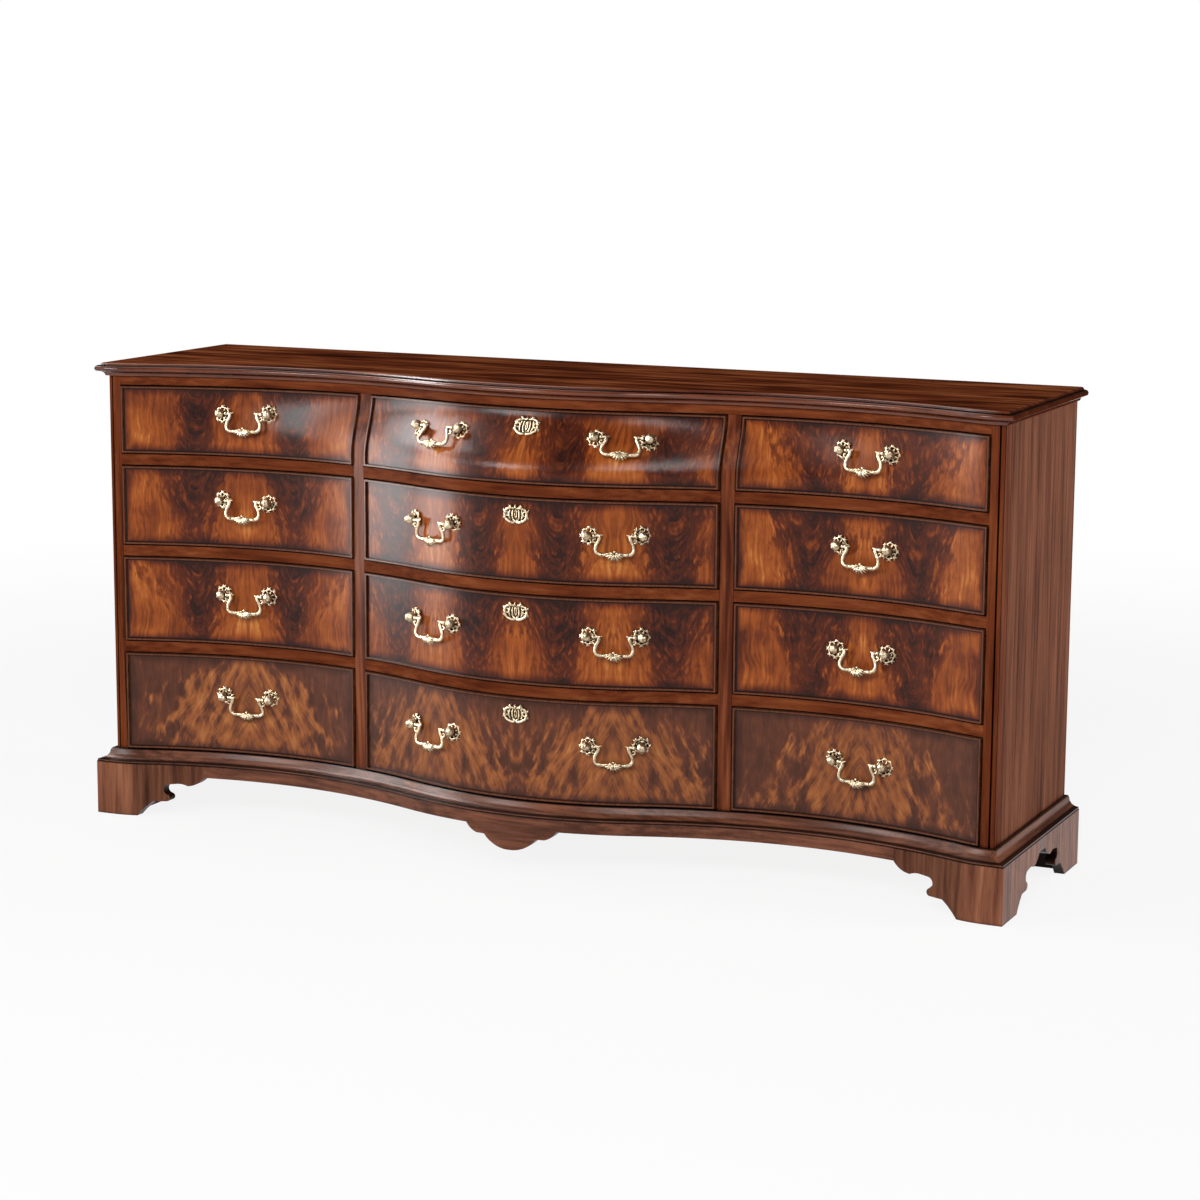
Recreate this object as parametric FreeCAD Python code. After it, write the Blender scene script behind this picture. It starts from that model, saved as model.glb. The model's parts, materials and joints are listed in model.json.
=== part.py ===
import FreeCAD, Part
import math
import os

Vector = FreeCAD.Vector

# Serpentine dresser with four rows of three drawers on bracket feet.
# Millimetres, +Z up, front towards -Y, origin on the floor under the middle of the outline.

# Upright sizes, floor to top
base_height = 107.0
base_moulding_height = 25.0
row_heights = {"top": 138.0, "upper": 162.0, "lower": 174.0, "bottom": 200.0}
rail_height = 21.5
frieze_height = 17.5

# Widths across the front
centre_opening = 746.0
side_opening = 500.0
partition_thickness = 26.0
stile_width = 25.0

# Plan of the front, as depths from the back
corner_depth = 453.0
corner_flat = 54.0
bulge_depth = 495.0
hollow_depth = 385.0
hollow_x = 560.0
turn_x = 235.0
frieze_bulge_depth = 437.0
frieze_hollow_depth = 366.0
frieze_hollow_x = 500.0
frieze_turn_x = 225.0
ogee_start = 20.0

# Case boards
rail_rear_depth = 320.0
dust_board_thickness = 12.0
back_thickness = 8.0
stile_depth = 45.0
bead_radius = 3.5
bead_quirk = 2.0

# Moulded edge of the top, from its underside up
top_overhang = 21.0
top_cove_height = 9.0
top_cove_depth = 10.0
top_nose_radius = 6.0
top_step = 3.0
top_round_radius = 5.0

# Base moulding, apron and feet
base_overhang = 29.5
base_bead_height = 4.0
base_bead_setback = 1.0
base_cove_depth = 18.0
base_cove_height = 17.0
base_cap_overhang = 7.0
base_cap_setback = 2.5
mitre_shift = 1.0
skirt_thickness = 20.0
apron_height = 24.0
drop_depth = 43.0
drop_half_width = 95.0
drop_shoulder = 17.5
drop_shelf_x = 71.0
drop_lobe_x = 55.0
foot_length = 222.0
foot_toe = 88.0
side_apron_length = 38.5
foot_block = 60.0
foot_block_lift = 6.0
rear_brace_length = 120.0
rear_brace_toe = 60.0

# Drawers
front_gap = 2.5
front_thickness = 22.0
cockbead_width = 3.5
cockbead_proud = 5.0
drawer_side_gap = 3.5
drawer_run_gap = 0.3
drawer_head_room = 12.0
drawer_rear_gap = 8.0
drawer_side_thickness = 12.0
drawer_bottom_thickness = 6.0
drawer_bottom_lift = 9.0
glue_line = 0.3
stop_width = 40.0
stop_depth = 15.0
stop_height = 6.0
stop_gap = 0.3

# Pulls
pull_boring = 103.0
pull_rise = 16.0
centre_pull_x = 189.0
rosette_radius = 18.5
rosette_waist = 14.0
rosette_lobes = 8
rosette_thickness = 2.5
rosette_seat_gap = 0.45
ball_radius = 8.5
ball_height = 14.0
stem_radius = 3.5
bolt_radius = 2.5
bolt_clearance = 0.3
nut_radius = 5.5
nut_thickness = 4.0
nut_clearance = 0.1
nut_seat_gap = 0.5
pin_radius = 1.6
pin_clearance = 0.08
pin_depth = 5.5
bail_radius = 2.8
bail_ball_gap = 0.6
bail_waist = 25.0
bail_flare = 38.5
bail_drop = 34.5
bail_waist_bend = 5.0
bail_flare_bend = 7.0
knop_half_length = 13.0
knop_radius = 7.0
knop_tip_radius = 3.4
knop_offset = 2.0

# Escutcheons and locks
escutcheon_fall = 34.0
escutcheon_thickness = 2.5
escutcheon_half_width = 27.0
escutcheon_half_height = 19.0
escutcheon_blank_margin = 5.0
escutcheon_slots = (9.5, 17.5)
escutcheon_slot_width = 3.6
escutcheon_slot_length = 14.0
keyhole_radius = 2.4
keyhole_slot_width = 2.8
keyhole_slot_length = 8.0
lock_width = 70.0
lock_height = 45.0
lock_depth = 14.0
lock_fall = 14.0

# Sampling of the curved faces
plan_step = 30.0
ogee_step = 9.0
moulding_steps = 4

# Places worked out from the sizes above
case_half = centre_opening / 2 + partition_thickness + side_opening + stile_width
base_half = case_half + base_overhang
overall_depth = bulge_depth + base_overhang
back_y = overall_depth / 2
rail_rear_y = back_y - rail_rear_depth
case_rear_y = back_y - back_thickness
case_floor_z = base_height + base_moulding_height
side_foot_length = (corner_depth + base_overhang - side_apron_length) / 2
top_thickness = top_cove_height + 2 * top_nose_radius + top_round_radius

columns = {
    "left": (-case_half + stile_width, -centre_opening / 2 - partition_thickness),
    "centre": (-centre_opening / 2, centre_opening / 2),
    "right": (centre_opening / 2 + partition_thickness, case_half - stile_width),
}


def row_limits():
    limits = {}
    z = case_floor_z
    for row in reversed(list(row_heights)):
        limits[row] = (z, z + row_heights[row])
        z += row_heights[row] + rail_height
    return limits


rows = row_limits()
ogee_bottom_z = rows["top"][0] + ogee_start
ogee_top_z = rows["top"][1]
case_top_z = ogee_top_z + frieze_height


def serpentine(x, bulge, hollow, hollow_at, turn_at):
    # A convex arc at the middle, a hollow either side and a rise that flattens at the corner.
    x = abs(x)
    fall = bulge - hollow
    if x < turn_at:
        return bulge - x * x * fall / (hollow_at * turn_at)
    if x < hollow_at:
        return hollow + (hollow_at - x) ** 2 * fall / (hollow_at * (hollow_at - turn_at))
    rise = corner_depth - hollow
    reach = case_half - hollow_at
    if x < case_half - corner_flat:
        return hollow + (x - hollow_at) ** 2 * rise / (reach * (reach - corner_flat))
    return corner_depth - (case_half - min(x, case_half)) ** 2 * rise / (reach * corner_flat)


def ogee_share(z):
    # How far the front has moved from the body's plan to the frieze's plan.
    share = (z - ogee_bottom_z) / (ogee_top_z - ogee_bottom_z)
    share = min(max(share, 0.0), 1.0)
    return share * share * (3 - 2 * share)


def front_depth(x, z):
    body = serpentine(x, bulge_depth, hollow_depth, hollow_x, turn_x)
    frieze = serpentine(x, frieze_bulge_depth, frieze_hollow_depth, frieze_hollow_x, frieze_turn_x)
    return body + ogee_share(z) * (frieze - body)


def front_slopes(x, z):
    nudge = 0.5
    across = (front_depth(x + nudge, z) - front_depth(x - nudge, z)) / (2 * nudge)
    upward = (front_depth(x, z + nudge) - front_depth(x, z - nudge)) / (2 * nudge)
    return across, upward


def front_point(x, z, proud=0.0):
    # A point on the front, or proud of it square to the plan.
    across = front_slopes(x, z)[0]
    return Vector(x, back_y - front_depth(x, z) - proud * math.hypot(1, across), z)


def spread(low, high, step):
    count = max(2, math.ceil((high - low) / step))
    return [low + (high - low) * i / count for i in range(count + 1)]


def turned_out(solid):
    if solid.Volume < 0:
        solid.reverse()
    return solid


def largest(shape):
    return max(shape.Solids, key=lambda solid: solid.Volume)


def rearmost(shape):
    return max(shape.Solids, key=lambda solid: solid.BoundBox.YMax)


def box(x_limits, y_limits, z_limits):
    low = Vector(x_limits[0], y_limits[0], z_limits[0])
    size = Vector(x_limits[1], y_limits[1], z_limits[1]) - low
    return Part.makeBox(size.x, size.y, size.z, low)


def front_curve(x_limits, z, proud):
    curve = Part.BSplineCurve()
    curve.interpolate([front_point(x, z, proud) for x in spread(*x_limits, plan_step)])
    return curve.toShape()


def front_slab(x_limits, z_limits, proud, thickness):
    # A board that follows the front, of even thickness from front to back.
    low, high = z_limits
    if high <= ogee_bottom_z or low >= ogee_top_z:
        skin = front_curve(x_limits, low, proud).extrude(Vector(0, 0, high - low))
    else:
        heights = spread(low, high, ogee_step)
        surface = Part.BSplineSurface()
        surface.interpolate([[front_point(x, z, proud) for z in heights] for x in spread(*x_limits, plan_step)])
        skin = surface.toShape()
    return turned_out(skin.extrude(Vector(0, thickness, 0)))


def front_board(x_limits, z_limits, rear_y):
    # A level board with the front's plan at its front edge and a straight rear edge.
    low, high = z_limits
    curve = front_curve(x_limits, low, 0)
    left = Vector(x_limits[0], rear_y, low)
    right = Vector(x_limits[1], rear_y, low)
    sides = [
        Part.makeLine(front_point(x_limits[1], low), right),
        Part.makeLine(right, left),
        Part.makeLine(left, front_point(x_limits[0], low)),
    ]
    face = Part.Face(Part.Wire([curve] + sides))
    return turned_out(face.extrude(Vector(0, 0, high - low)))


def case_outline(z, plan_z, overhang):
    # The case's plan at one height, let out by an overhang at the front and sides.
    half = case_half + overhang
    curve = Part.BSplineCurve()
    curve.interpolate([front_point(x, plan_z, overhang) for x in spread(-half, half, plan_step)])
    shape = curve.toShape()
    shape.translate(Vector(0, 0, z - plan_z))
    start = shape.valueAt(shape.FirstParameter)
    end = shape.valueAt(shape.LastParameter)
    rear_right = Vector(half, back_y, z)
    rear_left = Vector(-half, back_y, z)
    sides = [
        Part.makeLine(end, rear_right),
        Part.makeLine(rear_right, rear_left),
        Part.makeLine(rear_left, start),
    ]
    return Part.Wire([shape] + sides)


def moulded_block(profile, plan_z):
    # Stacked outlines; the profile lists heights and overhangs from the bottom up.
    return turned_out(Part.makeLoft([case_outline(z, plan_z, overhang) for z, overhang in profile], True, True))


def quarter(centre_z, centre_overhang, rise, reach, start, end):
    # Points on a quarter or half round, between two angles in degrees.
    points = []
    for i in range(moulding_steps + 1):
        angle = math.radians(start + (end - start) * i / moulding_steps)
        points.append((centre_z + rise * math.sin(angle), centre_overhang + reach * math.cos(angle)))
    return points


def outline_face(start, pieces, place):
    # A flat face from lines and three-point arcs; place turns a pair of sizes into a point.
    edges = []
    here = start
    for piece in pieces:
        there = piece[-1]
        if len(piece) == 2:
            edges.append(Part.Arc(place(*here), place(*piece[0]), place(*there)).toShape())
        else:
            edges.append(Part.makeLine(place(*here), place(*there)))
        here = there
    return Part.Face(Part.Wire(edges))


def both_sides(start, right):
    # An outline's right half, and the same run back on the left to its start.
    ends = [start] + [piece[-1] for piece in right]
    left = []
    for piece, before in zip(reversed(right), reversed(ends[:-1])):
        left.append(tuple((-u, v) for u, v in piece[:-1] + (before,)))
    return right + left


def make_top_board():
    nose_z = case_top_z + top_cove_height + top_nose_radius
    nose_overhang = top_overhang - top_nose_radius
    round_z = nose_z + top_nose_radius
    cove = quarter(case_top_z, nose_overhang, top_cove_height, -top_cove_depth, 0, 90)
    nose = quarter(nose_z, nose_overhang, top_nose_radius, top_nose_radius, -90, 90)
    arris_overhang = nose_overhang - top_step - top_round_radius
    rounded = quarter(round_z, arris_overhang, top_round_radius, top_round_radius, 0, 90)
    return moulded_block(cove + nose[1:] + rounded, case_top_z)


def make_side_panels():
    z_limits = (base_height, case_top_z)
    y_limits = (back_y - corner_depth + stile_depth, back_y)
    right = box((case_half - stile_width, case_half), y_limits, z_limits)
    return [right.mirror(Vector(0, 0, 0), Vector(1, 0, 0)), right]


def make_stile():
    # Right-hand corner stile: flat face, quirk, three-quarter bead, quirk.
    corner_y = back_y - corner_depth
    inner = case_half - stile_width
    flat_end = case_half - 2 * bead_radius - bead_quirk
    centre_x = case_half - bead_radius
    centre_y = corner_y + bead_radius
    slant = bead_radius * math.sqrt(0.5)
    start = (inner, front_point(inner, base_height).y)
    pieces = [
        ((flat_end, front_point(flat_end, base_height).y),),
        ((flat_end, centre_y),),
        ((centre_x - bead_radius, centre_y),),
        ((centre_x + slant, centre_y - slant), (centre_x, centre_y + bead_radius)),
        ((centre_x, centre_y + bead_radius + bead_quirk),),
        ((case_half, centre_y + bead_radius + bead_quirk),),
        ((case_half, corner_y + stile_depth),),
        ((inner, corner_y + stile_depth),),
        (start,),
    ]
    face = outline_face(start, pieces, lambda x, y: Vector(x, y, base_height))
    return turned_out(face.extrude(Vector(0, 0, case_top_z - base_height)))


def rail_levels():
    levels = [(base_height, case_floor_z)]
    for row in ("bottom", "lower", "upper"):
        levels.append((rows[row][1], rows[row][1] + rail_height))
    return levels


def make_front_frame():
    right_stile = make_stile()
    pieces = [right_stile.mirror(Vector(0, 0, 0), Vector(1, 0, 0)), right_stile]
    frieze_limits = (-case_half + stile_width, case_half - stile_width)
    pieces.append(front_board(frieze_limits, (ogee_top_z, case_top_z), rail_rear_y))
    for level in rail_levels():
        for x_limits in columns.values():
            pieces.append(front_board(x_limits, level, rail_rear_y))
    return pieces


def make_partition():
    # Right-hand partition: upright edge below, ogee edge beside the top row.
    x_limits = (centre_opening / 2, centre_opening / 2 + partition_thickness)
    ogee_low = rows["top"][0]
    lower = front_board(x_limits, (base_height, ogee_low), case_rear_y)
    upper = front_slab(x_limits, (ogee_low, ogee_top_z), 0, overall_depth)
    upper = upper.common(box(x_limits, (-overall_depth, case_rear_y), (ogee_low, ogee_top_z)))
    return lower.fuse(upper.Solids[0]).Solids[0]


def make_partitions():
    right = make_partition()
    return [right.mirror(Vector(0, 0, 0), Vector(1, 0, 0)), right]


def make_dust_boards():
    pieces = []
    for level in rail_levels():
        z_limits = (level[1] - dust_board_thickness, level[1])
        for x_limits in columns.values():
            pieces.append(box(x_limits, (rail_rear_y, case_rear_y), z_limits))
    for row, z_limits in rows.items():
        for x_limits in columns.values():
            pieces += make_stops(x_limits, z_limits[0])
    return pieces


def make_stops(x_limits, z):
    # Two blocks on the rail that the drawer front's inner face closes against.
    middle = (x_limits[0] + x_limits[1]) / 2
    reach = (x_limits[1] - x_limits[0]) / 3
    pieces = []
    for side in (-1, 1):
        near = middle + side * reach - stop_width / 2
        pieces.append(inner_slab((near, near + stop_width), (z, z + stop_height), stop_gap, stop_depth))
    return pieces


def inner_slab(x_limits, z_limits, gap, thickness):
    # A block behind a drawer front that follows the front's inner face.
    slab = front_slab(x_limits, z_limits, 0, thickness)
    slab.translate(Vector(0, front_thickness + gap, 0))
    return slab


def make_back_panel():
    half = case_half - stile_width
    return box((-half, half), (case_rear_y, back_y), (base_height, case_top_z))


def front_of_mitres():
    # The space whose rear sides are the mitres of the base moulding.
    corner_y = back_y - corner_depth
    corner_x = case_half + mitre_shift
    reach = overall_depth
    inset = corner_depth - hollow_depth + base_overhang
    plan = [
        Vector(corner_x - inset, corner_y + inset, 0),
        Vector(inset - corner_x, corner_y + inset, 0),
        Vector(-corner_x - reach, corner_y - reach, 0),
        Vector(corner_x + reach, corner_y - reach, 0),
    ]
    return turned_out(Part.Face(Part.makePolygon(plan + plan[:1])).extrude(Vector(0, 0, case_top_z)))


def make_base_moulding():
    bead_overhang = base_overhang - base_bead_setback
    bead_top = base_height + base_bead_height
    cove_overhang = base_cap_overhang + base_cap_setback + base_cove_depth
    cove_top = bead_top + base_cove_height
    cove = quarter(cove_top, cove_overhang, -base_cove_height, -base_cove_depth, 90, 0)
    profile = [(base_height, bead_overhang), (bead_top, bead_overhang)] + cove
    profile.append((case_floor_z, base_cap_overhang))
    core_limits = (base_height - rail_height, case_floor_z + rail_height)
    core = moulded_block([(z, glue_line) for z in core_limits], base_height)
    wedge = front_of_mitres()
    front = largest(moulded_block(profile, base_height).cut(core).common(wedge))
    section = [(base_height, 0)] + profile + [(case_floor_z, 0)]
    corners = [Vector(case_half + overhang, -overall_depth, z) for z, overhang in section]
    side = Part.Face(Part.makePolygon(corners + corners[:1])).extrude(Vector(0, overall_depth + back_y, 0))
    side = largest(turned_out(side).cut(wedge))
    return [front, side, side.mirror(Vector(0, 0, 0), Vector(1, 0, 0))] + make_aprons()


def skirt_slab(x_limits):
    # The front of the base between two places, before its lower edge is sawn.
    return front_slab(x_limits, (0, base_height), base_overhang, skirt_thickness)


def sawn_front(x_limits, face):
    cutter = turned_out(face.extrude(Vector(0, 2 * overall_depth, 0)))
    return skirt_slab(x_limits).common(cutter).Solids[0]


def front_plane(x, z):
    return Vector(x, -overall_depth, z)


def make_aprons():
    end = base_half - foot_length
    lip = base_height - apron_height
    right_half = [
        ((end, base_height),),
        ((end, lip),),
        ((drop_half_width, lip),),
        ((0.9 * drop_half_width, lip - 0.6 * drop_shoulder), (drop_shelf_x, lip - drop_shoulder)),
        ((drop_lobe_x, lip - drop_shoulder),),
        ((0.53 * drop_lobe_x, lip - 0.87 * drop_depth), (0, lip - drop_depth)),
    ]
    start = (0, base_height)
    face = outline_face(start, both_sides(start, right_half), front_plane)
    front = sawn_front((-end, end), face)
    y_limits = (back_y - side_foot_length - side_apron_length, back_y - side_foot_length)
    side = box((base_half - skirt_thickness, base_half), y_limits, (lip, base_height))
    return [front, side, side.mirror(Vector(0, 0, 0), Vector(1, 0, 0))]


def bracket_face(length, place):
    # A bracket's outline from its corner: toe, ogee, spur, scroll notch, cusp and rise to the apron.
    run = length - foot_toe
    lip = base_height - apron_height

    def sawn(out, up):
        # A place on the sawn edge, as shares of its run from the toe and of its rise to the apron.
        return foot_toe + out * run, up * lip

    pieces = [
        (sawn(0, 0),),
        (sawn(0.105, 0.193), sawn(0.231, 0.361)),
        (sawn(0.418, 0.373),),
        (sawn(0.478, 0.458), sawn(0.44, 0.542)),
        (sawn(0.388, 0.651), sawn(0.455, 0.795)),
        (sawn(0.582, 0.819),),
        (sawn(0.672, 0.813), sawn(0.746, 0.771)),
        (sawn(0.881, 0.831), sawn(1, 1)),
        ((length, base_height),),
        ((0, base_height),),
        ((0, 0),),
    ]
    return outline_face((0, 0), pieces, place)


def make_front_foot():
    # Right front foot: front bracket, side bracket and glue block.
    x_limits = (base_half - foot_length, base_half)
    front = sawn_front(x_limits, bracket_face(foot_length, lambda d, z: front_plane(base_half - d, z)))
    corner_y = front_point(base_half, base_height, base_overhang).y
    inner = base_half - skirt_thickness
    side_face = bracket_face(side_foot_length, lambda d, z: Vector(inner, corner_y + d, z))
    side = largest(turned_out(side_face.extrude(Vector(skirt_thickness, 0, 0))).cut(skirt_slab(x_limits)))
    block_y = (corner_y, corner_y + 2 * foot_block)
    block = box((inner - foot_block, inner), block_y, (foot_block_lift, base_height))
    return [front, side, largest(block.cut(skirt_slab(x_limits)))]


def make_rear_foot():
    # Right rear foot: side bracket, plain rear brace and glue block.
    inner = base_half - skirt_thickness
    side_face = bracket_face(side_foot_length, lambda d, z: Vector(inner, back_y - d, z))
    side = turned_out(side_face.extrude(Vector(skirt_thickness, 0, 0)))
    brace_y = back_y - skirt_thickness
    brace_points = [
        Vector(inner, brace_y, 0),
        Vector(inner, brace_y, base_height),
        Vector(inner - rear_brace_length, brace_y, base_height),
        Vector(inner - rear_brace_length, brace_y, base_height - apron_height),
        Vector(inner - rear_brace_toe, brace_y, 0),
    ]
    brace_face = Part.Face(Part.makePolygon(brace_points + brace_points[:1]))
    brace = turned_out(brace_face.extrude(Vector(0, skirt_thickness, 0)))
    block = box((inner - foot_block, inner), (brace_y - foot_block, brace_y), (foot_block_lift, base_height))
    return [side, brace, block]


def make_bracket_feet():
    right = make_front_foot() + make_rear_foot()
    return right + [piece.mirror(Vector(0, 0, 0), Vector(1, 0, 0)) for piece in right]


def drawer_front_limits(row, column):
    x0, x1 = columns[column]
    z0, z1 = rows[row]
    return (x0 + front_gap, x1 - front_gap), (z0 + front_gap, z1 - front_gap)


def shrunk(limits, margin):
    return limits[0] + margin, limits[1] - margin


def make_drawer_front(row, column):
    # Front board inside a ring of cockbead, bored for the posts and the key.
    x_limits, z_limits = drawer_front_limits(row, column)
    inner_x = shrunk(x_limits, cockbead_width)
    inner_z = shrunk(z_limits, cockbead_width)
    ring = front_slab(x_limits, z_limits, cockbead_proud, front_thickness + cockbead_proud)
    ring = ring.cut(box(inner_x, (-overall_depth, overall_depth), inner_z)).Solids[0]
    board = front_slab(inner_x, inner_z, 0, front_thickness)
    for pull in drawer_pulls(row, column):
        for post in pull["posts"]:
            board = board.cut(along(post, bolt_radius + bolt_clearance, -2 * front_thickness, front_thickness))
    if column == "centre":
        key = Vector(0, -overall_depth, escutcheon_z(row))
        board = board.cut(Part.makeCylinder(keyhole_radius, 2 * overall_depth, key, Vector(0, 1, 0)))
    return [board.Solids[0], ring]


def ahead_of_inner_face(x_limits, z_limits):
    # The space ahead of a drawer front's inner face.
    slab = front_slab(x_limits, z_limits, 0, overall_depth + front_thickness)
    slab.translate(Vector(0, -overall_depth, 0))
    return slab


def make_drawer_box(row, column):
    # Two sides, back and bottom panel, scribed to the front's inner face.
    x0, x1 = shrunk(columns[column], drawer_side_gap)
    z0 = rows[row][0] + drawer_run_gap
    z1 = rows[row][1] - drawer_head_room
    rear_y = case_rear_y - drawer_rear_gap
    scribe = ahead_of_inner_face(columns[column], rows[row])
    scribe.translate(Vector(0, glue_line, 0))
    left = box((x0, x0 + drawer_side_thickness), (-overall_depth, rear_y), (z0, z1))
    right = box((x1 - drawer_side_thickness, x1), (-overall_depth, rear_y), (z0, z1))
    inner = (x0 + drawer_side_thickness, x1 - drawer_side_thickness)
    panel_z = (z0 + drawer_bottom_lift, z0 + drawer_bottom_lift + drawer_bottom_thickness)
    panel = box(inner, (-overall_depth, rear_y), panel_z)
    back = box(inner, (rear_y - drawer_side_thickness, rear_y), (panel_z[1], z1))
    return [rearmost(piece.cut(scribe)) for piece in (left, right, panel)] + [back]


def escutcheon_z(row):
    return rows[row][1] - escutcheon_fall


def front_normal(x, z):
    across, upward = front_slopes(x, z)
    normal = Vector(-across, -1, -upward)
    return normal.normalize()


def make_pull(x, z):
    # The frame of one pull: two posts on the front's own normals and the line between their balls.
    half = pull_boring / 2 / math.hypot(1, front_slopes(x, z)[0])
    posts = []
    for side in (-1, 1):
        normal = front_normal(x + side * half, z)
        foot = front_point(x + side * half, z)
        posts.append({"foot": foot, "normal": normal, "ball": foot + normal * ball_height})
    across = posts[1]["ball"] - posts[0]["ball"]
    half_span = across.Length / 2
    across.normalize()
    outward = front_normal(x, z)
    outward = outward - across * outward.dot(across)
    outward.normalize()
    return {
        "posts": posts,
        "middle": (posts[0]["ball"] + posts[1]["ball"]) * 0.5,
        "across": across,
        "outward": outward,
        "down": across.cross(outward),
        "half_span": half_span,
    }


def drawer_pulls(row, column):
    z = (rows[row][0] + rows[row][1]) / 2 + pull_rise
    if column == "centre":
        return [make_pull(-centre_pull_x, z), make_pull(centre_pull_x, z)]
    return [make_pull(sum(columns[column]) / 2, z)]


def along(post, radius, low, high):
    # A round bar on a post's axis between two heights above the front.
    return Part.makeCylinder(radius, high - low, post["foot"] + post["normal"] * low, post["normal"])


def plate_axes(normal):
    across = Vector(0, 0, 1).cross(normal)
    across.normalize()
    return across, normal.cross(across)


def make_rosette(post):
    # A lobed plate under the ball.
    across, upward = plate_axes(post["normal"])
    seat = post["foot"] + post["normal"] * rosette_seat_gap
    edges = []

    def rim(radius, turn):
        angle = 2 * math.pi * turn / rosette_lobes
        return seat + across * (radius * math.cos(angle)) + upward * (radius * math.sin(angle))

    for lobe in range(rosette_lobes):
        arc = Part.Arc(rim(rosette_radius, lobe), rim(rosette_waist, lobe + 0.5), rim(rosette_radius, lobe + 1))
        edges.append(arc.toShape())
    plate = turned_out(Part.Face(Part.Wire(edges)).extrude(post["normal"] * rosette_thickness))
    stem_hole = along(post, stem_radius, -front_thickness, 2 * ball_height)
    return plate.cut(stem_hole).Solids[0]


def nut_height(post):
    # Height of a nut's seat, below the front, on the inner face of the drawer front.
    return -front_thickness * abs(post["normal"].y) - nut_seat_gap


def make_post(post, towards):
    # Ball, stem and bolt in one piece, with the eye for the bail's pin.
    eye_radius = pin_radius + pin_clearance
    seat = rosette_seat_gap
    tail = nut_height(post) - nut_thickness - bolt_radius
    shape = along(post, bolt_radius, tail, ball_height).fuse(along(post, stem_radius, seat, ball_height))
    shape = shape.fuse(Part.makeSphere(ball_radius, post["ball"])).removeSplitter()
    eye_start = post["ball"] + towards * (ball_radius - pin_depth - pin_clearance)
    return shape.cut(Part.makeCylinder(eye_radius, 2 * ball_radius, eye_start, towards)).Solids[0]


def make_nut(post):
    across, upward = plate_axes(post["normal"])
    seat = post["foot"] + post["normal"] * nut_height(post)
    corners = []
    for corner in range(6):
        angle = math.pi * corner / 3
        corners.append(seat + across * (nut_radius * math.cos(angle)) + upward * (nut_radius * math.sin(angle)))
    hexagon = Part.Face(Part.makePolygon(corners + corners[:1]))
    nut = turned_out(hexagon.extrude(post["normal"] * -nut_thickness))
    return nut.cut(along(post, bolt_radius + nut_clearance, -3 * front_thickness, 0)).Solids[0]


def make_escutcheon(row):
    # A wide pierced plate with three lobes on top, a keyhole and slots.
    z = escutcheon_z(row)

    def place(x, rise):
        return Vector(x * escutcheon_half_width, -overall_depth, z + rise * escutcheon_half_height)

    right = [
        ((0.12, 0.94), (0.2, 0.75)),
        ((0.35, 0.9), (0.5, 0.72)),
        ((0.9, 0.55), (0.98, -0.2)),
        ((0.72, -0.8), (0.1, -0.94)),
        ((0.0, -0.8),),
    ]
    start = (0.0, 1.0)
    blank = outline_face(start, both_sides(start, right), place)
    blank = turned_out(blank.extrude(Vector(0, 2 * overall_depth, 0)))
    half_width = escutcheon_half_width + escutcheon_blank_margin
    half_height = escutcheon_half_height + escutcheon_blank_margin
    plate = front_slab((-half_width, half_width), (z - half_height, z + half_height), 0, escutcheon_thickness)
    plate.translate(Vector(0, -escutcheon_thickness - glue_line, 0))
    plate = plate.common(blank)
    half_slot = escutcheon_slot_width / 2
    slot_z = (z - escutcheon_slot_length / 2, z + escutcheon_slot_length / 2)
    for reach in escutcheon_slots:
        for x in (-reach, reach):
            plate = plate.cut(box((x - half_slot, x + half_slot), (-overall_depth, overall_depth), slot_z))
    plate = plate.cut(Part.makeCylinder(keyhole_radius, 2 * overall_depth, place(0, 0), Vector(0, 1, 0)))
    slot = keyhole_slot_width / 2
    plate = plate.cut(box((-slot, slot), (-overall_depth, overall_depth), (z - keyhole_slot_length, z)))
    return plate.Solids[0]


def make_lock(row):
    top = rows[row][1] - lock_fall
    return inner_slab((-lock_width / 2, lock_width / 2), (top - lock_height, top), glue_line, lock_depth)


def make_fittings(row, column):
    # The brass that stays on one drawer: rosettes, posts and nuts, and the centre's escutcheon and lock.
    pieces = []
    for pull in drawer_pulls(row, column):
        for post, turn in zip(pull["posts"], (1, -1)):
            pieces += [make_rosette(post), make_post(post, pull["across"] * turn), make_nut(post)]
    if column == "centre":
        pieces += [make_escutcheon(row), make_lock(row)]
    return pieces


def rounded_path(points, radii):
    # Straight runs through the points, with a tangent arc at each inner one.
    edges = []
    here = points[0]
    for before, corner, after, radius in zip(points, points[1:], points[2:], radii):
        back = (before - corner).normalize()
        ahead = (after - corner).normalize()
        half_angle = back.getAngle(ahead) / 2
        reach = radius / math.tan(half_angle)
        bisector = (back + ahead).normalize()
        middle = corner + bisector * (radius / math.sin(half_angle) - radius)
        start = corner + back * reach
        end = corner + ahead * reach
        edges.append(Part.makeLine(here, start))
        edges.append(Part.Arc(start, middle, end).toShape())
        here = end
    edges.append(Part.makeLine(here, points[-1]))
    return Part.Wire(edges)


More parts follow.
